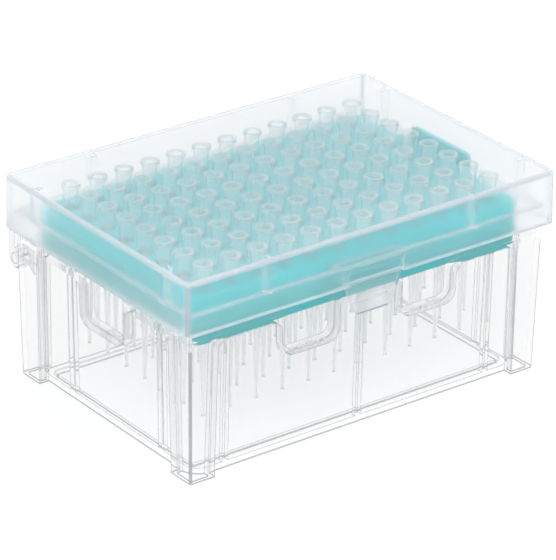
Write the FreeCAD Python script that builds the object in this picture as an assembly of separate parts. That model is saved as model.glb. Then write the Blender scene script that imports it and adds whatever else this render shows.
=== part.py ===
import FreeCAD, Part
import math
import os

# Box of 96 pipette tips: a clear base, a tip plate that stands in it, the tips that hang in the
# plate, and a hinged lid with a latch tab. Millimetres. +X runs along the long side, +Y to the
# hinge, +Z up. The box is sized from the tip grid outwards: grid, plate, cavity, base walls, lid.
# The pieces are made about the middle of the grid and written about the middle of the whole
# footprint, hinge arms included, on the surface that the box stands on.

# ---- tip grid and tips ----
tipColumns = 12
tipRows = 8
tipsPerGroup = 2
tipPitch = 9.0
tipLength = 45.4
tipEndHeight = 14.1
tipCollarHeight = 7.2
tipLipHeight = 0.7
tipLipProud = 0.5
tipShoulderWidth = 0.4
tipBodyRadius = 1.9
tipWaistRadius = 1.5
tipWaistDepth = 22.0
tipStemRadius = 1.0
tipStemDepth = 26.0
tipEndRadius = 0.55
tipWall = 0.4
tipOrificeRadius = 0.25

# ---- tip plate ----
plateMarginX = 7.0
plateMarginY = 5.8
plateDeckThickness = 1.5
plateSkirtThickness = 1.3
plateSkirtHeight = 12.4
plateEndSkirtRaise = 1.3
plateEndSkirtFromFront = 2.1
plateHoleGap = 0.2
plateFitGap = 0.3
liftTabHalfWidth = 13.0
liftTabHeight = 4.5
liftTabThickness = 1.3
liftTabReach = 1.9
liftTabCornerRadius = 1.5

# ---- base ----
baseDraft = 1.0
wall = 1.3
panelRecessX = 3.2
panelRecessY = 2.9
baseCornerRadius = 0.9
baseInnerRadius = 0.5
cavityCornerRadius = 4.0
floorThickness = 1.2
floorRecess = 0.7
floorStepWall = 0.6
floorCornerRadius = 0.8
floorRingX = 3.3
floorRingY = 4.9
rimBelowDeck = 0.85
bandHeight = 10.25
shelfThickness = 1.2
postWidthX = 8.2
postWidthY = 8.9
postLean = 0.6
outlineRadius = 3.0
lobeRadius = 4.0
frontLobeWidth = 19.7
frontLobeDrop = 11.3
sideLobeHalf = 10.5
sideLobeDrop = 12.8
supportRibDepth = 1.6
longRibWidth = 1.8
longRibFromCorner = 11.4
shortRibWidth = 2.2
shortRibFromCorner = 16.7

# ---- lid ----
lidDraft = 0.8
lidWall = 1.25
lidTopThickness = 1.2
lidGapX = 1.4
lidGapY = 1.05
lidOverlap = 5.15
lidHeadroom = 1.6
lidCornerRadius = 2.6
lidInnerRadius = 1.0
lidTopFillet = 1.2
lidRibWidth = 1.6
lidRibDepth = 2.7
lidRibFromEndX = 28.35
lidRibFromEndY = 13.3
lidSeatGap = 0.05

# ---- latch tab ----
latchHalfWidth = 9.4
latchCheek = 0.9
latchSideGap = 0.3
latchInset = 1.4
latchThickness = 1.2
latchDrop = 9.9
latchTaperDrop = 1.5
latchEndHalfWidth = 6.3
latchEndRadius = 2.2
latchShoulderRadius = 6.0
latchSlopeTop = 5.0
latchSlopeBottom = 2.9
latchBeadHeight = 1.2
latchBeadProud = 0.4
latchBeadFromEnd = 3.0
catchHeight = 1.2
catchAboveBead = 1.6
catchProud = 1.5
catchSideInset = 0.3

# ---- hinge ----
pinRadius = 1.6
pinRunningGap = 0.1
hookWall = 1.4
hookBackGap = 0.4
hingeDrop = 11.9
armWidth = 3.6
armOuterFromLidEnd = 4.6
armThickness = 2.6
armRootHeight = 4.5
hookMouth = 2.5
bracketThickness = 2.0
bracketSideGap = 0.5
bracketRadius = 2.6
pinPastArm = 0.4

# ---- heights that follow ----
mouthHeight = tipEndHeight + tipLength
deckTop = mouthHeight - tipCollarHeight
skirtBottom = deckTop - plateSkirtHeight
endSkirtBottom = skirtBottom + plateEndSkirtRaise
rimTop = deckTop - rimBelowDeck
panelTop = rimTop - bandHeight
shelfTop = panelTop + shelfThickness
lidBottom = rimTop - lidOverlap
lidUnderside = mouthHeight + lidHeadroom
lidTop = lidUnderside + lidTopThickness
latchBottom = lidBottom - latchDrop
hingeHeight = lidBottom - hingeDrop

# ---- plan sizes that follow, as radii and half sizes ----
tipCollarRadius = tipBodyRadius + tipShoulderWidth
tipLipRadius = tipCollarRadius + tipLipProud
gridHalfX = tipPitch * (tipColumns - 1) / 2
gridHalfY = tipPitch * (tipRows - 1) / 2
plateHalfX = gridHalfX + plateMarginX
plateHalfY = gridHalfY + plateMarginY
plateCornerRadius = cavityCornerRadius - plateFitGap
baseSlope = math.tan(math.radians(baseDraft))
lidSlope = math.tan(math.radians(lidDraft))
cavityHalfX = plateHalfX + plateFitGap - baseSlope * skirtBottom
cavityHalfY = plateHalfY + plateFitGap - baseSlope * skirtBottom
panelHalfX = cavityHalfX + wall
panelHalfY = cavityHalfY + wall
panelCornerRadius = cavityCornerRadius + wall
baseHalfX = panelHalfX + panelRecessX
baseHalfY = panelHalfY + panelRecessY
lidHalfX = baseHalfX + baseSlope * lidBottom + lidGapX + lidWall
lidHalfY = baseHalfY + baseSlope * lidBottom + lidGapY + lidWall
postEdgeX = baseHalfX - postWidthX
postEdgeY = baseHalfY - postWidthY
frontLobeInner = latchHalfWidth + latchCheek + latchSideGap
frontLobeOuter = frontLobeInner + frontLobeWidth
catchHalfWidth = latchEndHalfWidth - catchSideInset
latchFace = lidHalfY - latchInset
latchBack = latchFace - latchThickness
hookRadius = pinRadius + pinRunningGap + hookWall
hingeY = baseHalfY + baseSlope * hingeHeight + hookBackGap + hookRadius
armOuter = lidHalfX - armOuterFromLidEnd
armInner = armOuter - armWidth

# from the middle of the tip grid to the middle of the footprint
footprintShift = FreeCAD.Vector(0, (lidHalfY - hingeY - hookRadius) / 2, 0)

# longer than any piece, for cuts that go right through, and a short way past a face
beyond = 2 * lidHalfX
past = 1.0

# directions that an outline on each plane is pushed along
pushDirections = {
    "XY": FreeCAD.Vector(0, 0, 1),
    "XZ": FreeCAD.Vector(0, 1, 0),
    "YZ": FreeCAD.Vector(1, 0, 0),
}


def placePoint(plane, point, level):
    first, second = point
    if plane == "XY":
        return FreeCAD.Vector(first, second, level)
    if plane == "XZ":
        return FreeCAD.Vector(first, level, second)
    return FreeCAD.Vector(level, first, second)


# Closed wire through the points, each corner rounded by its own radius with a tangent arc.
def outlineWire(plane, points, radii, level):
    stretches = []
    for index, point in enumerate(points):
        before = points[index - 1]
        after = points[(index + 1) % len(points)]
        radius = radii[index]
        lengthIn = math.dist(before, point)
        lengthOut = math.dist(point, after)
        inX = (point[0] - before[0]) / lengthIn
        inY = (point[1] - before[1]) / lengthIn
        outX = (after[0] - point[0]) / lengthOut
        outY = (after[1] - point[1]) / lengthOut
        halfTurn = math.acos(max(-1.0, min(1.0, inX * outX + inY * outY))) / 2
        reach = radius * math.tan(halfTurn)
        bulge = radius * (1 / math.cos(halfTurn) - 1)
        sideX = outX - inX
        sideY = outY - inY
        sideLength = math.hypot(sideX, sideY)
        start = (point[0] - inX * reach, point[1] - inY * reach)
        middle = (point[0] + sideX / sideLength * bulge, point[1] + sideY / sideLength * bulge)
        end = (point[0] + outX * reach, point[1] + outY * reach)
        stretches.append((radius, start, middle, end))
    edges = []
    for index, (radius, start, middle, end) in enumerate(stretches):
        if radius > 0:
            bend = [placePoint(plane, corner, level) for corner in (start, middle, end)]
            edges.append(Part.Arc(*bend).toShape())
        following = stretches[(index + 1) % len(stretches)][1]
        straight = [placePoint(plane, corner, level) for corner in (end, following)]
        if straight[0].distanceToPoint(straight[1]) > 1e-6:
            edges.append(Part.makeLine(*straight))
    return Part.Wire(edges)


# Outline pushed straight from one level to the other.
def prism(plane, points, radii, low, high):
    face = Part.Face(outlineWire(plane, points, radii, low))
    return face.extrude(pushDirections[plane] * (high - low))


def box(lowX, highX, lowY, highY, lowZ, highZ):
    return Part.makeBox(highX - lowX, highY - lowY, highZ - lowZ, FreeCAD.Vector(lowX, lowY, lowZ))


# Block with rounded upright corners, whose half sizes, given at height zero, change by slope
# for each millimetre of height.
def taperedBlock(halfX, halfY, radius, low, high, slope):
    wires = []
    for height in (low, high):
        reachX = halfX + slope * height
        reachY = halfY + slope * height
        corners = [(-reachX, -reachY), (reachX, -reachY), (reachX, reachY), (-reachX, reachY)]
        wires.append(outlineWire("XY", corners, [radius] * 4, height))
    return Part.makeLoft(wires, True, True)


def fuseAll(shapes):
    return shapes[0].multiFuse(shapes[1:])


def bothSides(shape):
    return [shape, shape.mirror(FreeCAD.Vector(0, 0, 0), FreeCAD.Vector(1, 0, 0))]


# Proud lobe that hangs from the base's band: its outline, set in by a given distance.
def lobeOutline(low, high, drop, inset, top):
    bottom = panelTop - drop + inset
    return [(low + inset, top), (low + inset, bottom), (high - inset, bottom), (high - inset, top)]


# Outline of the recessed panel on a long wall. The front has an open slot above it for the latch.
def longPanelOutline(hasSlot):
    lobeBottom = panelTop - frontLobeDrop
    slotTop = rimTop + past if hasSlot else panelTop
    slotRadius = 0 if hasSlot else outlineRadius
    half = [
        (frontLobeInner, slotTop, slotRadius),
        (frontLobeInner, lobeBottom, lobeRadius),
        (frontLobeOuter, lobeBottom, lobeRadius),
        (frontLobeOuter, panelTop, outlineRadius),
        (postEdgeX - postLean, panelTop, outlineRadius),
        (postEdgeX, -past, 0),
    ]
    return mirroredOutline(half)


def shortPanelOutline():
    lobeBottom = panelTop - sideLobeDrop
    half = [
        (sideLobeHalf, lobeBottom, lobeRadius),
        (sideLobeHalf, panelTop, outlineRadius),
        (postEdgeY - postLean, panelTop, outlineRadius),
        (postEdgeY, -past, 0),
    ]
    return mirroredOutline(half)


# Points and radii of an outline whose right half is given from the middle outwards.
def mirroredOutline(half):
    whole = half + [(-across, height, radius) for across, height, radius in reversed(half)]
    points = [(across, height) for across, height, radius in whole]
    radii = [radius for across, height, radius in whole]
    return points, radii


def makeBaseShell():
    body = taperedBlock(baseHalfX, baseHalfY, baseCornerRadius, 0, rimTop, baseSlope)
    frontPoints, frontRadii = longPanelOutline(True)
    backPoints, backRadii = longPanelOutline(False)
    sidePoints, sideRadii = shortPanelOutline()
    body = body.cut(prism("XZ", frontPoints, frontRadii, -beyond, 0))
    body = body.cut(prism("XZ", backPoints, backRadii, 0, beyond))
    body = body.cut(prism("YZ", sidePoints, sideRadii, -beyond, beyond))
    panels = taperedBlock(panelHalfX, panelHalfY, panelCornerRadius, 0, shelfTop, baseSlope)
    return fuseAll([body, panels, makeSlotLining()])


# Front wall behind the latch slot, still solid back to the middle of the box.
def makeSlotLining():
    reach = frontLobeInner + wall
    block = taperedBlock(panelHalfX, panelHalfY, panelCornerRadius, panelTop, rimTop, baseSlope)
    return block.common(box(-reach, reach, -beyond, 0, panelTop, rimTop))


def makeBaseHollows():
    insetHalfX = baseHalfX - wall
    insetHalfY = baseHalfY - wall
    insetRadius = max(baseCornerRadius - wall, baseInnerRadius)
    reach = frontLobeInner + wall
    above = rimTop + past
    cavity = taperedBlock(cavityHalfX, cavityHalfY, cavityCornerRadius, floorThickness, above, baseSlope)
    cavity = cavity.cut(floorBlock(floorStepWall, 0, floorThickness + floorRecess))
    band = taperedBlock(insetHalfX, insetHalfY, insetRadius, shelfTop, above, baseSlope)
    band = band.cut(box(-reach, reach, -beyond, 0, 0, beyond))
    inside = taperedBlock(insetHalfX, insetHalfY, insetRadius, 0, shelfTop + past, baseSlope)
    pocketRadii = [0, lobeRadius - wall, lobeRadius - wall, 0]
    longPocket = lobeOutline(frontLobeInner, frontLobeOuter, frontLobeDrop, wall, shelfTop + past)
    sidePocket = lobeOutline(-sideLobeHalf, sideLobeHalf, sideLobeDrop, wall, shelfTop + past)
    pockets = bothSides(prism("XZ", longPocket, pocketRadii, -beyond, beyond))
    pockets.append(prism("YZ", sidePocket, pocketRadii, -beyond, beyond))
    pockets = [pocket.common(inside) for pocket in pockets]
    return [cavity, band, floorBlock(0, -past, floorRecess)] + pockets + [makePostHollows()]


# The floor's middle stands a little higher than the ring it rests on, above and below.
def floorBlock(spread, low, high):
    halfX = panelHalfX - floorRingX + spread
    halfY = panelHalfY - floorRingY + spread
    return taperedBlock(halfX, halfY, floorCornerRadius + spread, low, high, 0)


# The four corner posts are open from below, between their outer shell and the inner walls.
def makePostHollows():
    insetRadius = max(baseCornerRadius - wall, baseInnerRadius)
    hollow = taperedBlock(baseHalfX - wall, baseHalfY - wall, insetRadius, -past, panelTop, baseSlope)
    middle = taperedBlock(panelHalfX, panelHalfY, panelCornerRadius, -2 * past, panelTop + past, baseSlope)
    hollow = hollow.cut(middle)
    for plane, edge in (("XZ", postEdgeX), ("YZ", postEdgeY)):
        low = edge + wall
        high = edge - postLean + wall
        top = panelTop + past
        between = [(-low, -2 * past), (-high, top), (high, top), (low, -2 * past)]
        hollow = hollow.cut(prism(plane, between, [0] * 4, -beyond, beyond))
    return hollow


# Upright ribs inside the walls, whose tops carry the tip plate's skirt.
def makeSupportRibs():
    ribX = panelHalfX - longRibFromCorner
    ribY = panelHalfY - shortRibFromCorner
    low = floorThickness / 2
    strips = []
    for centre in (-ribX, 0, ribX):
        half = longRibWidth / 2
        strips.append(box(centre - half, centre + half, -beyond, beyond, low, skirtBottom))
    for centre in (-ribY, ribY):
        half = shortRibWidth / 2
        strips.append(box(-beyond, beyond, centre - half, centre + half, low, endSkirtBottom))
    outerX = cavityHalfX + wall / 2
    outerY = cavityHalfY + wall / 2
    innerX = cavityHalfX - supportRibDepth
    innerY = cavityHalfY - supportRibDepth
    outer = taperedBlock(outerX, outerY, cavityCornerRadius, 0, rimTop, baseSlope)
    inner = taperedBlock(innerX, innerY, cavityCornerRadius, -past, rimTop, baseSlope)
    return [strip.common(outer).cut(inner) for strip in strips]


# Bracket on the back of a corner post, with the hinge pin that stands out of it.
def makeHingeBracket():
    outerFace = armInner - bracketSideGap
    innerFace = outerFace - bracketThickness
    rootY = baseHalfY + baseSlope * hingeHeight - wall / 2
    web = [
        (rootY, hingeHeight + bracketRadius + past),
        (rootY, hingeHeight - 2 * bracketRadius),
        (hingeY, hingeHeight - bracketRadius),
        (hingeY, hingeHeight + bracketRadius),
    ]
    centre = FreeCAD.Vector(innerFace, hingeY, hingeHeight)
    along = FreeCAD.Vector(1, 0, 0)
    plate = prism("YZ", web, [0] * 4, innerFace, outerFace)
    eye = Part.makeCylinder(bracketRadius, bracketThickness, centre, along)
    pin = Part.makeCylinder(pinRadius, armOuter + pinPastArm - innerFace, centre, along)
    return fuseAll([plate, eye, pin])


# Ridge in the latch slot that the tab's bead sits under.
def makeCatch():
    face = panelHalfY + baseSlope * lidBottom
    low = latchBottom + latchBeadFromEnd + latchBeadHeight + catchAboveBead
    profile = [
        (-face + wall / 2, low),
        (-face - catchProud, low),
        (-face - catchProud, low + catchHeight / 2),
        (-face + wall / 2, low + 2 * catchHeight),
    ]
    return prism("YZ", profile, [0] * 4, -catchHalfWidth, catchHalfWidth)


def makeBase():
    body = makeBaseShell().cut(makeBaseHollows())
    return fuseAll([body, makeCatch()] + makeSupportRibs() + bothSides(makeHingeBracket()))


def makeLiftTab():
    inner = plateHalfX + liftTabReach - liftTabThickness
    top = deckTop + liftTabHeight
    low = deckTop - plateDeckThickness
    outline = [
        (-liftTabHalfWidth, low), (liftTabHalfWidth, low), (liftTabHalfWidth, top), (-liftTabHalfWidth, top)]
    radii = [0, 0, liftTabCornerRadius, liftTabCornerRadius]
    upright = prism("YZ", outline, radii, inner, inner + liftTabThickness)
    half = liftTabHalfWidth
    ledge = box(plateHalfX - plateSkirtThickness, inner + liftTabThickness, -half, half, low, deckTop)
    return fuseAll([upright, ledge])


def makeTipPlate():
    inside = plateSkirtThickness
    outer = taperedBlock(plateHalfX, plateHalfY, plateCornerRadius, skirtBottom, deckTop, 0)
    underneath = taperedBlock(
        plateHalfX - inside, plateHalfY - inside, plateCornerRadius - inside,
        skirtBottom - past, deckTop - plateDeckThickness, 0)
    endCut = plateHalfY - plateEndSkirtFromFront
    shorterEnds = box(-beyond, beyond, -endCut, endCut, skirtBottom - past, endSkirtBottom)
    plate = outer.cut([underneath, shorterEnds])
    low = FreeCAD.Vector(0, 0, deckTop - plateDeckThickness - past)
    hole = Part.makeCylinder(tipBodyRadius + plateHoleGap, plateDeckThickness + 2 * past, low)
    places = [tipPlace(column, row) for column in range(tipColumns) for row in range(tipRows)]
    plate = plate.cut([hole.translated(place) for place in places])
    return fuseAll([plate] + bothSides(makeLiftTab()))


# Plan position of a tip: columns run along the long side, rows from the hinge to the latch.
def tipPlace(column, row):
    return FreeCAD.Vector(tipPitch * column - gridHalfX, gridHalfY - tipPitch * row, 0)


# One tip, turned about its own axis: a lip, a collar that stands on the plate, a body, a waist
# and a thin stem, all hollow from the mouth to the orifice.
def makeTip():
    shoulder = mouthHeight - tipCollarHeight
    waist = mouthHeight - tipWaistDepth
    stem = mouthHeight - tipStemDepth
    lipBottom = mouthHeight - tipLipHeight
    profile = [
        (tipLipRadius, mouthHeight),
        (tipLipRadius, lipBottom),
        (tipCollarRadius, lipBottom),
        (tipCollarRadius, shoulder),
        (tipBodyRadius, shoulder),
        (tipWaistRadius, waist),
        (tipStemRadius, stem),
        (tipEndRadius, tipEndHeight),
        (tipOrificeRadius, tipEndHeight),
        (tipStemRadius - tipWall, stem),
        (tipWaistRadius - tipWall, waist),
        (tipBodyRadius - tipWall, shoulder),
        (tipCollarRadius - tipWall, mouthHeight),
    ]
    face = Part.Face(outlineWire("XZ", profile, [0] * len(profile), 0))
    return face.revolve(FreeCAD.Vector(0, 0, 0), FreeCAD.Vector(0, 0, 1), 360)


def makeLidRibs():
    low = rimTop + lidSeatGap
    ribX = lidHalfX - lidRibFromEndX
    ribY = lidHalfY - lidRibFromEndY
    high = lidUnderside + lidTopThickness / 2
    half = lidRibWidth / 2
    strips = []
    for centre in (-ribX, ribX):
        strips.append(box(centre - half, centre + half, -beyond, beyond, low, high))
    for centre in (-ribY, ribY):
        strips.append(box(-beyond, beyond, centre - half, centre + half, low, high))
    outer = lidBlock(lidWall / 2, lidBottom, high)
    inner = lidBlock(lidWall + lidRibDepth, lidBottom - past, lidTop)
    return [strip.common(outer).cut(inner) for strip in strips]


# The lid's outer form set in by a given distance; it narrows upwards.
def lidBlock(inset, low, high):
    halfX = lidHalfX + lidSlope * lidBottom - inset
    halfY = lidHalfY + lidSlope * lidBottom - inset
    return taperedBlock(halfX, halfY, max(lidCornerRadius - inset, lidInnerRadius), low, high, -lidSlope)


def makeLidShell():
    shell = lidBlock(0, lidBottom, lidTop)
    topEdges = [edge for edge in shell.Edges if edge.BoundBox.ZMin > lidTop - 1e-4]
    shell = shell.makeFillet(lidTopFillet, topEdges)
    return shell.cut(lidBlock(lidWall, lidBottom - past, lidUnderside))


# The front wall steps inwards over the latch and runs down as the tab, with cheeks at its sides.
def addLatch(shell):
    slopeTop = lidBottom + latchSlopeTop
    slopeBottom = lidBottom + latchSlopeBottom
    reach = latchHalfWidth + latchCheek
    rise = latchThickness + lidWall
    step = [
        (-lidHalfY + lidWall / 2, lidBottom),
        (-latchBack, lidBottom),
        (-latchBack, slopeBottom + latchThickness),
        (-lidHalfY + lidWall / 2, slopeTop + rise),
    ]
    hollow = [
        (-beyond, lidBottom - past),
        (-latchFace, lidBottom - past),
        (-latchFace, slopeBottom),
        (-lidHalfY, slopeTop),
        (-beyond, slopeTop),
    ]
    shell = shell.fuse(prism("YZ", step, [0] * 4, -reach, reach))
    shell = shell.cut(prism("YZ", hollow, [0] * 5, -latchHalfWidth, latchHalfWidth))
    tab = [
        (-latchHalfWidth, lidBottom + latchThickness),
        (-latchHalfWidth, lidBottom - latchTaperDrop),
        (-latchEndHalfWidth, latchBottom),
        (latchEndHalfWidth, latchBottom),
        (latchHalfWidth, lidBottom - latchTaperDrop),
        (latchHalfWidth, lidBottom + latchThickness),
    ]
    radii = [0, latchShoulderRadius, latchEndRadius, latchEndRadius, latchShoulderRadius, 0]
    beadLow = latchBottom + latchBeadFromEnd
    bead = [
        (-latchBack - latchThickness / 2, beadLow),
        (-latchBack, beadLow),
        (-latchBack + latchBeadProud, beadLow + latchBeadHeight / 2),
        (-latchBack, beadLow + latchBeadHeight),
        (-latchBack - latchThickness / 2, beadLow + latchBeadHeight),
    ]
    tabPlate = prism("XZ", tab, radii, -latchFace, -latchBack)
    return fuseAll([shell, tabPlate, prism("YZ", bead, [0] * 5, -catchHalfWidth, catchHalfWidth)])


# Arm that hangs from the lid's back wall and ends in a hook round the base's pin.
def makeHingeArm():
    rootY = lidHalfY - lidWall / 2
    backY = hingeY + hookRadius
    frontY = backY - armThickness
    arm = [
        (backY, hingeHeight),
        (backY, lidBottom),
        (rootY, lidBottom + armRootHeight),
        (rootY, lidBottom),
        (frontY, lidBottom - armThickness / 2),
        (frontY, hingeHeight),
    ]
    radii = [0, armThickness / 2, 0, 0, armThickness / 2, 0]
    centre = FreeCAD.Vector(armInner, hingeY, hingeHeight)
    along = FreeCAD.Vector(1, 0, 0)
    hook = Part.makeCylinder(hookRadius, armWidth, centre, along)
    hook = hook.fuse(prism("YZ", arm, radii, armInner, armOuter))
    mouthLow = hingeHeight - hookMouth / 2
    mouth = box(armInner, armOuter, hingeY - beyond, hingeY, mouthLow, mouthLow + hookMouth)
    bore = Part.makeCylinder(pinRadius + pinRunningGap, armWidth, centre, along)
    return hook.cut([bore, mouth])


def makeLid():
    shell = addLatch(makeLidShell())
    return fuseAll([shell] + makeLidRibs() + bothSides(makeHingeArm()))


def writePart(name, shape):
    whole = Part.makeCompound(shape.removeSplitter().Solids).translated(footprintShift)
    whole.exportStep(os.path.join("parts", name + ".step"))
    print(name, len(whole.Solids), whole.isValid(), round(whole.Volume, 1))


os.makedirs("parts", exist_ok=True)
writePart("base", makeBase())
writePart("tip_plate", makeTipPlate())
writePart("lid", makeLid())
tip = makeTip()
rowLetters = "abcdefgh"
for column in range(tipColumns):
    for firstRow in range(0, tipRows, tipsPerGroup):
        rows = range(firstRow, firstRow + tipsPerGroup)
        group = Part.makeCompound([tip.translated(tipPlace(column, row)) for row in rows])
        writePart("tips_col%02d_%s" % (column + 1, "".join(rowLetters[row] for row in rows)), group)
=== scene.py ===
import math

import bpy
from mathutils import Matrix, Vector


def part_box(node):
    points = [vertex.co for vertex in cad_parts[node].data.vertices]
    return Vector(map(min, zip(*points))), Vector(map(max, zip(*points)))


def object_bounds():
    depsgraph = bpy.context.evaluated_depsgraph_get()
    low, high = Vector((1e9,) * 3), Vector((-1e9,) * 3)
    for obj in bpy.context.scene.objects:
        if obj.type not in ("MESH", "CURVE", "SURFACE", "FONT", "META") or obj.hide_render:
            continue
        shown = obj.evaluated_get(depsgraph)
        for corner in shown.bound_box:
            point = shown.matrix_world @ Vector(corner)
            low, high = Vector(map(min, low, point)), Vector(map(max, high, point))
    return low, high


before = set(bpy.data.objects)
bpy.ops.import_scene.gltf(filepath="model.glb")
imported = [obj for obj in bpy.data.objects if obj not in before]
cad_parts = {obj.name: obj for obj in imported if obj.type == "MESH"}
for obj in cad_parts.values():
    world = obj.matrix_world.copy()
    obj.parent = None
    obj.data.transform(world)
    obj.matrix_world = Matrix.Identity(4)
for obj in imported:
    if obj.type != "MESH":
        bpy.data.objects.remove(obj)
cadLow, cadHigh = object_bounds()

print("frame loaded:", len(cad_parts), "nodes")


# A new material with an empty node tree and its output node.
def startMaterial(name):
    material = bpy.data.materials.new(name)
    material.use_nodes = True
    tree = material.node_tree
    tree.nodes.clear()
    output = tree.nodes.new("ShaderNodeOutputMaterial")
    return material, tree, output


# A node with its properties set, and each named input given a value or joined to a socket.
def addNode(tree, kind, inputs=None, **properties):
    node = tree.nodes.new(kind)
    for name, value in properties.items():
        setattr(node, name, value)
    for name, value in (inputs or {}).items():
        if isinstance(value, bpy.types.NodeSocket):
            tree.links.new(value, node.inputs[name])
        else:
            node.inputs[name].default_value = value
    return node


# Noise on the piece's own coordinates, in features per metre.
def objectNoise(tree, scale, detail=2.0):
    place = addNode(tree, "ShaderNodeTexCoord").outputs["Object"]
    return addNode(tree, "ShaderNodeTexNoise", {"Vector": place, "Scale": scale, "Detail": detail})


# A value spread from one end to the other as the source goes from 0.3 to 0.7.
def spread(tree, source, low, high):
    inputs = {"Value": source, "From Min": 0.3, "From Max": 0.7, "To Min": low, "To Max": high}
    return addNode(tree, "ShaderNodeMapRange", inputs).outputs["Result"]


# Places that the finishes follow, in metres: the base's rim, the lid's top and lower edge, the
# walls' outward slope, and the base's half sizes at its foot.
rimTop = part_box("base")[1][2]
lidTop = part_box("lid")[1][2]
lidOverlap = 0.00515
lidEdge = rimTop - lidOverlap
wallSlope = 0.017455
middleY = (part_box("tip_plate")[0][1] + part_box("tip_plate")[1][1]) / 2
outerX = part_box("base")[1][0] - wallSlope * rimTop
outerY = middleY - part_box("base")[0][1] - wallSlope * rimTop

# A height that no piece reaches, for a feature that a finish lacks.
nowhere = -1.0

# The values that set each finish: lengths in metres, colours linear, heights above the floor.
clearPlastic = {
    "tint": (0.998, 0.998, 0.999, 1),
    "haze": 0.045,
    "levelHaze": 0.05,
    # painted shade: edges get a larger share of haze in the grey edge colour
    "paintedEdgeHaze": 0.66,
    "edgeReach": 0.0006,
    "hazeColour": (0.80, 0.79, 0.81, 1),
    "paintedEdgeColour": (0.40, 0.41, 0.43, 1),
    "roughness": (0.03, 0.06),
    "levelRoughness": (0.10, 0.16),
    "ior": 1.055,
    "absorbColour": (0.86, 0.87, 0.88, 1),
    "absorbDensity": 12.0,
    "shadowTint": (0.97, 0.972, 0.975, 1),
    # painted highlight: a pale band at the top of the base's rim
    "strips": [(rimTop - 0.0005, rimTop + 0.001)],
    "stripOnLevel": 1.0,
    "stripHighlightHaze": 0.55,
    "stripHighlightColour": (0.66, 0.70, 0.74, 1),
    "plainBand": (rimTop - 0.0107, rimTop + 0.001),
    # painted shade: a grey line along the foot of the base
    "footShadeLines": [(-0.001, 0.0005)],
    "cornerHighlight": False,
    "clearBelow": nowhere,
    "clearHaze": 0.0,
    "clearRoughness": 0.0,
    "openUnderside": 0.0009,
    # painted shade: grey haze on the faces that step back to the panels
    "returnDepths": (0.0032, 0.0029),
    "stepShadeHaze": 0.24,
}
frostedPlastic = {
    "tint": (0.997, 0.998, 1.0, 1),
    "haze": 0.085,
    "levelHaze": 0.16,
    "paintedEdgeHaze": 0.75,
    "edgeReach": 0.0005,
    "hazeColour": (0.90, 0.90, 0.93, 1),
    "paintedEdgeColour": (0.68, 0.72, 0.78, 1),
    "roughness": (0.46, 0.52),
    "levelRoughness": (0.14, 0.18),
    "ior": 1.14,
    "absorbColour": (0.80, 0.82, 0.84, 1),
    "absorbDensity": 15.0,
    "shadowTint": (0.93, 0.935, 0.94, 1),
    # painted highlight: pale bands along the lid's top edge and its lower edge
    "strips": [(lidTop - 0.0013, lidTop), (lidEdge - 0.0002, lidEdge + 0.0004)],
    "stripOnLevel": 0.0,
    "stripHighlightHaze": 0.78,
    "stripHighlightColour": (0.88, 0.90, 0.95, 1),
    "plainBand": (nowhere, nowhere),
    "footShadeLines": [],
    "cornerHighlight": True,
    "clearBelow": lidEdge - 0.0003,
    "clearHaze": 0.14,
    "clearRoughness": 0.26,
    "openUnderside": nowhere,
    "returnDepths": None,
    "stepShadeHaze": 0.0,
}
tipPlastic = {
    "tint": (0.99, 0.993, 0.995, 1),
    "haze": 0.08,
    "levelHaze": 0.5,
    "paintedEdgeHaze": 0.62,
    "edgeReach": 0.0004,
    "hazeColour": (0.94, 0.94, 0.95, 1),
    "paintedEdgeColour": (0.52, 0.60, 0.59, 1),
    "roughness": (0.08, 0.14),
    "levelRoughness": (0.08, 0.14),
    "ior": 1.1,
    "absorbColour": (0.80, 0.83, 0.84, 1),
    "absorbDensity": 20.0,
    "shadowTint": (0.97, 0.972, 0.975, 1),
    "strips": [],
    "stripOnLevel": 0.0,
    "stripHighlightHaze": 0.6,
    "stripHighlightColour": (0.80, 0.83, 0.83, 1),
    "plainBand": (nowhere, nowhere),
    "footShadeLines": [],
    "cornerHighlight": False,
    "clearBelow": nowhere,
    "clearHaze": 0.0,
    "clearRoughness": 0.0,
    "openUnderside": nowhere,
    "returnDepths": None,
    "stepShadeHaze": 0.0,
}


# A value that goes from nothing to one as the source goes from low to high.
def ramp(tree, source, low, high):
    inputs = {"Value": source, "From Min": low, "From Max": high, "To Min": 0.0, "To Max": 1.0}
    return addNode(tree, "ShaderNodeMapRange", inputs).outputs["Result"]


# One where a surface turns within the given reach, at an edge or a rim, and nothing on flats.
def edgeShare(tree, reach):
    rounded = addNode(tree, "ShaderNodeBevel", {"Radius": reach}, samples=4)
    own = addNode(tree, "ShaderNodeNewGeometry")
    alike = addNode(tree, "ShaderNodeVectorMath", {
        0: rounded.outputs["Normal"], 1: own.outputs["Normal"]}, operation="DOT_PRODUCT")
    return ramp(tree, alike.outputs["Value"], 1.0, 0.9)


# Two values joined by one operation of the maths node.
def combine(tree, first, second, operation):
    return addNode(tree, "ShaderNodeMath", {0: first, 1: second}, operation=operation).outputs[0]


# One between two heights on the piece and nothing outside them, with a short fade.
def heightBand(tree, height, low, high):
    fade = 0.0001
    above = ramp(tree, height, low - fade, low + fade)
    below = ramp(tree, height, high + fade, high - fade)
    return combine(tree, above, below, "MULTIPLY")


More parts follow.
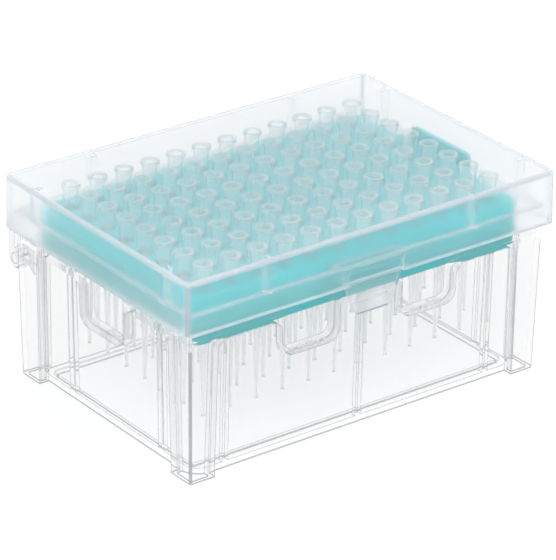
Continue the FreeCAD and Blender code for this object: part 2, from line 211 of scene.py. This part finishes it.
# Shares of a point's place and of the way its face points, as sockets for the masks below.
def facePlace(tree):
    own = addNode(tree, "ShaderNodeTexCoord")
    size = addNode(tree, "ShaderNodeVectorMath", {0: own.outputs["Normal"]}, operation="ABSOLUTE")
    turned = addNode(tree, "ShaderNodeSeparateXYZ", {"Vector": size.outputs["Vector"]})
    centred = addNode(tree, "ShaderNodeVectorMath", {
        0: own.outputs["Object"], 1: (0.0, middleY, 0.0)}, operation="SUBTRACT")
    away = addNode(tree, "ShaderNodeVectorMath", {0: centred.outputs["Vector"]}, operation="ABSOLUTE")
    place = addNode(tree, "ShaderNodeSeparateXYZ", {"Vector": away.outputs["Vector"]})
    rise = combine(tree, place.outputs["Z"], wallSlope, "MULTIPLY")
    return {
        "height": place.outputs["Z"],
        "awayX": combine(tree, place.outputs["X"], rise, "SUBTRACT"),
        "awayY": combine(tree, place.outputs["Y"], rise, "SUBTRACT"),
        "facingX": turned.outputs["X"],
        "facingY": turned.outputs["Y"],
        "facingZ": turned.outputs["Z"],
    }


# Strips of a piece between the given pairs of heights.
def heightStrips(tree, face, pairs):
    strip = 0.0
    for low, high in pairs:
        strip = combine(tree, strip, heightBand(tree, face["height"], low, high), "MAXIMUM")
    return strip


# Masks for painted shade on the base: its outer corners, which get a dark line, and the faces
# that step back from its outer skin to its panels, which get grey haze.
def baseSteps(tree, face, depths):
    skin = 0.0012
    cornerReach = 0.0008
    fade = 0.0002
    level = ramp(tree, face["facingZ"], 0.7, 0.9)
    steps = 0.0
    corner = 1.0
    for along, across, turned, alongOuter, acrossOuter, depth in (
        (face["awayX"], face["awayY"], face["facingX"], outerX, outerY, depths[1]),
        (face["awayY"], face["awayX"], face["facingY"], outerY, outerX, depths[0]),
    ):
        proud = ramp(tree, across, acrossOuter - depth, acrossOuter - depth + fade)
        side = combine(tree, ramp(tree, turned, 0.6, 0.8), level, "MAXIMUM")
        inside = ramp(tree, along, alongOuter - 2 * skin, alongOuter - 3 * skin)
        step = combine(tree, combine(tree, proud, side, "MULTIPLY"), inside, "MULTIPLY")
        steps = combine(tree, steps, step, "MAXIMUM")
        near = ramp(tree, across, acrossOuter - cornerReach, acrossOuter - 0.8 * cornerReach)
        corner = combine(tree, corner, near, "MULTIPLY")
    return corner, steps


# The low value where the share is nothing and the high one where it is one.
def blend(tree, share, low, high):
    return addNode(tree, "ShaderNodeMix", {0: share, 2: low, 3: high}).outputs[0]


def blendColour(tree, share, low, high):
    return addNode(tree, "ShaderNodeMix", {0: share, 6: low, 7: high}, data_type="RGBA").outputs[2]


# Clear moulded plastic: light passes and bends, and a thin haze scatters a share of it. Edges
# get more haze in a grey edge colour, a painted shade that stands in for the dark lines bent light
# draws at them. Lamps shine through it.
def makeSeeThrough(name, look):
    material, tree, output = startMaterial(name)
    grain = objectNoise(tree, 900.0, 3.0).outputs["Fac"]
    face = facePlace(tree)
    level = ramp(tree, face["facingZ"], 0.5, 0.9)
    clearFade = 0.0004
    clear = ramp(tree, face["height"], look["clearBelow"], look["clearBelow"] - clearFade)
    upright = blend(tree, clear, spread(tree, grain, *look["roughness"]), look["clearRoughness"])
    roughness = blend(tree, level, upright, spread(tree, grain, *look["levelRoughness"]))
    body = addNode(tree, "ShaderNodeBsdfPrincipled", {
        "Base Color": look["tint"],
        "Roughness": roughness,
        "IOR": look["ior"],
        "Transmission Weight": 1.0,
    })
    lined = combine(tree, 1.0, heightBand(tree, face["height"], *look["plainBand"]), "SUBTRACT")
    # painted shade: edges, and the foot line, take haze in the edge colour
    edge = combine(tree, edgeShare(tree, look["edgeReach"]), lined, "MULTIPLY")
    edge = combine(tree, edge, heightStrips(tree, face, look["footShadeLines"]), "MAXIMUM")
    if look["cornerHighlight"]:
        # a painted highlight down a rounded upright corner, which faces partly along both X and Y
        turned = combine(tree, face["facingX"], face["facingY"], "MINIMUM")
        edge = combine(tree, edge, ramp(tree, turned, 0.38, 0.55), "MAXIMUM")
    flatHaze = blend(tree, level, look["haze"], look["levelHaze"])
    flatHaze = blend(tree, clear, flatHaze, look["clearHaze"])
    if look["returnDepths"]:
        # painted shade: a dark line at the base's outer corners and grey haze on its step faces
        corner, steps = baseSteps(tree, face, look["returnDepths"])
        edge = combine(tree, edge, combine(tree, corner, lined, "MULTIPLY"), "MAXIMUM")
        flatHaze = blend(tree, combine(tree, steps, lined, "MULTIPLY"), flatHaze, look["stepShadeHaze"])
    offLevel = combine(tree, ramp(tree, face["facingZ"], 0.999, 0.985), look["stripOnLevel"], "MAXIMUM")
    # painted highlight: pale bands at the listed heights
    strip = combine(tree, heightStrips(tree, face, look["strips"]), offLevel, "MULTIPLY")
    share = blend(tree, strip, blend(tree, edge, flatHaze, look["paintedEdgeHaze"]), look["stripHighlightHaze"])
    # the painted edge shade, then the painted highlight of the strips, set the haze colour
    colour = blendColour(tree, edge, look["hazeColour"], look["paintedEdgeColour"])
    colour = blendColour(tree, strip, colour, look["stripHighlightColour"])
    scatter = addNode(tree, "ShaderNodeBsdfTranslucent", {"Color": colour})
    bounce = addNode(tree, "ShaderNodeBsdfDiffuse", {"Color": colour})
    haze = addNode(tree, "ShaderNodeMixShader", {
        0: 0.5, 1: bounce.outputs["BSDF"], 2: scatter.outputs["BSDF"]})
    hazy = addNode(tree, "ShaderNodeMixShader", {
        0: share, 1: body.outputs["BSDF"], 2: haze.outputs["Shader"]})
    # light that comes down through the piece goes on into the surface it stands on
    through = addNode(tree, "ShaderNodeBsdfTransparent", {"Color": (1, 1, 1, 1)})
    underFade = 0.0001
    low = ramp(tree, face["height"], look["openUnderside"], look["openUnderside"] - underFade)
    under = combine(tree, level, low, "MULTIPLY")
    footed = addNode(tree, "ShaderNodeMixShader", {
        0: under, 1: hazy.outputs["Shader"], 2: through.outputs["BSDF"]})
    passing = addNode(tree, "ShaderNodeBsdfTransparent", {"Color": look["shadowTint"]})
    path = addNode(tree, "ShaderNodeLightPath")
    surface = addNode(tree, "ShaderNodeMixShader", {
        0: path.outputs["Is Shadow Ray"], 1: footed.outputs["Shader"], 2: passing.outputs["BSDF"]})
    depth = addNode(tree, "ShaderNodeVolumeAbsorption", {
        "Color": look["absorbColour"], "Density": look["absorbDensity"]})
    tree.links.new(surface.outputs["Shader"], output.inputs["Surface"])
    tree.links.new(depth.outputs["Volume"], output.inputs["Volume"])
    return material


tealPlastic = {
    "colour": (0.050, 0.53, 0.56, 1),
    "deepColour": (0.043, 0.49, 0.52, 1),
    # painted shade: a darker teal for the skirt's foot, faded in between the heights below
    "skirtShadeColour": (0.028, 0.385, 0.395, 1),
    "skirtShade": (lidEdge - 0.0042, lidEdge + 0.0052),
    "roughness": (0.30, 0.42),
    "ior": 1.49,
    "grainHeight": 0.0002,
    "grainStrength": 0.15,
}


# Coloured moulded plastic, with a slow drift of colour and a fine satin grain. Painted shade
# darkens it at the foot of the skirt, where it stands in the base's shade.
def makeTealPlastic(name, look):
    material, tree, output = startMaterial(name)
    drift = objectNoise(tree, 45.0)
    grain = objectNoise(tree, 1400.0, 3.0)
    share = spread(tree, drift.outputs["Fac"], 0.0, 1.0)
    colour = addNode(tree, "ShaderNodeMix", {
        "Factor": share, 6: look["deepColour"], 7: look["colour"]}, data_type="RGBA")
    place = addNode(tree, "ShaderNodeTexCoord").outputs["Object"]
    height = addNode(tree, "ShaderNodeSeparateXYZ", {"Vector": place}).outputs["Z"]
    # painted shade: the teal darkens towards the foot of the skirt
    colour = addNode(tree, "ShaderNodeMix", {
        0: ramp(tree, height, *look["skirtShade"]), 6: look["skirtShadeColour"],
        7: colour.outputs[2]}, data_type="RGBA")
    bump = addNode(tree, "ShaderNodeBump", {
        "Height": grain.outputs["Fac"], "Distance": look["grainHeight"],
        "Strength": look["grainStrength"]})
    body = addNode(tree, "ShaderNodeBsdfPrincipled", {
        "Base Color": colour.outputs[2],
        "Roughness": spread(tree, grain.outputs["Fac"], *look["roughness"]),
        "IOR": look["ior"],
        "Normal": bump.outputs["Normal"],
    })
    tree.links.new(body.outputs["BSDF"], output.inputs["Surface"])
    return material


finishes = {
    "base": makeSeeThrough("clearBasePlastic", clearPlastic),
    "lid": makeSeeThrough("frostedLidPlastic", frostedPlastic),
    "tip_plate": makeTealPlastic("tealPlatePlastic", tealPlastic),
    "tips": makeSeeThrough("clearTipPlastic", tipPlastic),
}
for nodeName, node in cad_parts.items():
    finish = finishes["tips"] if nodeName.startswith("tips_") else finishes[nodeName]
    if not node.material_slots:
        node.data.materials.append(finish)
    for materialSlot in node.material_slots:
        materialSlot.material = finish
print("materials made:", len(finishes))


# The floor's size and drop in metres, and the light that floor and sky give when they are seen
# directly and when they light a surface.
stageLook = {
    "floorSize": 6.0,
    "floorDrop": 0.0002,
    "floorColour": (0.24, 0.24, 0.24, 1),
    "floorGlow": 0.80,
    "floorGlowForSurfaces": 0.2,
    "worldForSurfaces": 0.72,
    "worldSeen": 1.0,
}


def makeFloor(look):
    half = look["floorSize"] / 2
    level = cadLow.z - look["floorDrop"]
    corners = [(-half, -half, level), (half, -half, level), (half, half, level), (-half, half, level)]
    mesh = bpy.data.meshes.new("floor")
    mesh.from_pydata(corners, [], [(0, 1, 2, 3)])
    floor = bpy.data.objects.new("floor", mesh)
    bpy.context.collection.objects.link(floor)
    material, tree, output = startMaterial("paleFloor")
    matte = addNode(tree, "ShaderNodeBsdfDiffuse", {"Color": look["floorColour"]})
    strength = addNode(tree, "ShaderNodeMix", {
        0: seenDirectly(tree), 2: look["floorGlowForSurfaces"], 3: look["floorGlow"]})
    glow = addNode(tree, "ShaderNodeEmission", {
        "Color": (1, 1, 1, 1), "Strength": strength.outputs[0]})
    both = addNode(tree, "ShaderNodeAddShader", {0: matte.outputs[0], 1: glow.outputs[0]})
    tree.links.new(both.outputs[0], output.inputs["Surface"])
    mesh.materials.append(material)


# One for a ray from the camera, a mirror or a clear piece, and nothing for any other.
def seenDirectly(tree):
    path = addNode(tree, "ShaderNodeLightPath")
    first = addNode(tree, "ShaderNodeMath", {
        0: path.outputs["Is Camera Ray"], 1: path.outputs["Is Glossy Ray"]}, operation="MAXIMUM")
    both = addNode(tree, "ShaderNodeMath", {
        0: first.outputs[0], 1: path.outputs["Is Transmission Ray"]}, operation="MAXIMUM")
    return both.outputs[0]


def makeWorld(look):
    world = bpy.data.worlds.new("studio")
    bpy.context.scene.world = world
    world.use_nodes = True
    tree = world.node_tree
    tree.nodes.clear()
    output = addNode(tree, "ShaderNodeOutputWorld")
    inputs = {
        "Value": seenDirectly(tree), "From Min": 0.0, "From Max": 1.0,
        "To Min": look["worldForSurfaces"], "To Max": look["worldSeen"]}
    strength = addNode(tree, "ShaderNodeMapRange", inputs)
    sky = addNode(tree, "ShaderNodeBackground", {
        "Color": (1, 1, 1, 1), "Strength": strength.outputs["Result"]})
    tree.links.new(sky.outputs["Background"], output.inputs["Surface"])


# Large soft lamps: place and aim in metres, size in metres, power in watts.
softLamps = {
    "keyLamp": {"place": (-0.9, -0.7, 1.3), "size": 1.0, "power": 9.0},
    "fillLamp": {"place": (1.0, -0.9, 0.9), "size": 1.2, "power": 4.0},
}


def makeLamps(lamps, aim):
    for name, look in lamps.items():
        lamp = bpy.data.lights.new(name, "AREA")
        lamp.shape = "DISK"
        lamp.size = look["size"]
        lamp.energy = look["power"]
        holder = bpy.data.objects.new(name, lamp)
        place = Vector(look["place"])
        turn = (aim - place).to_track_quat("-Z", "Y").to_matrix().to_4x4()
        holder.matrix_world = Matrix.Translation(place) @ turn
        bpy.context.collection.objects.link(holder)


cameraView = {
    "aim": (-0.00007, -0.00152, 0.02841),
    "distance": 1.08428,
    "azimuth": -37.246,
    "elevation": 25.806,
    "roll": 0.781,
    "lens": 247.63,
    "sensor": 36.0,
    "clip": (0.01, 20.0),
}


# The camera stands back from its aim by azimuth and elevation, then rolls about its own axis.
def makeCamera(look):
    azimuth = math.radians(look["azimuth"])
    elevation = math.radians(look["elevation"])
    roll = math.radians(look["roll"])
    back = Vector((
        math.sin(azimuth) * math.cos(elevation),
        -math.cos(azimuth) * math.cos(elevation),
        math.sin(elevation),
    ))
    levelRight = Vector((0, 0, 1)).cross(back).normalized()
    levelUp = back.cross(levelRight)
    right = levelRight * math.cos(roll) + levelUp * math.sin(roll)
    up = levelUp * math.cos(roll) - levelRight * math.sin(roll)
    turn = Matrix((right, up, back)).transposed().to_4x4()
    lens = bpy.data.cameras.new("camera")
    lens.sensor_fit = "HORIZONTAL"
    lens.sensor_width = look["sensor"]
    lens.lens = look["lens"]
    lens.clip_start, lens.clip_end = look["clip"]
    camera = bpy.data.objects.new("camera", lens)
    camera.matrix_world = Matrix.Translation(Vector(look["aim"]) + back * look["distance"]) @ turn
    bpy.context.collection.objects.link(camera)
    bpy.context.scene.camera = camera


makeFloor(stageLook)
makeWorld(stageLook)
makeLamps(softLamps, Vector(cameraView["aim"]))
makeCamera(cameraView)
scene = bpy.context.scene
scene.view_settings.view_transform = "Standard"
scene.cycles.max_bounces = 64
scene.cycles.glossy_bounces = 32
scene.cycles.transmission_bounces = 64
scene.cycles.transparent_max_bounces = 64
print("stage, lamps and camera made")
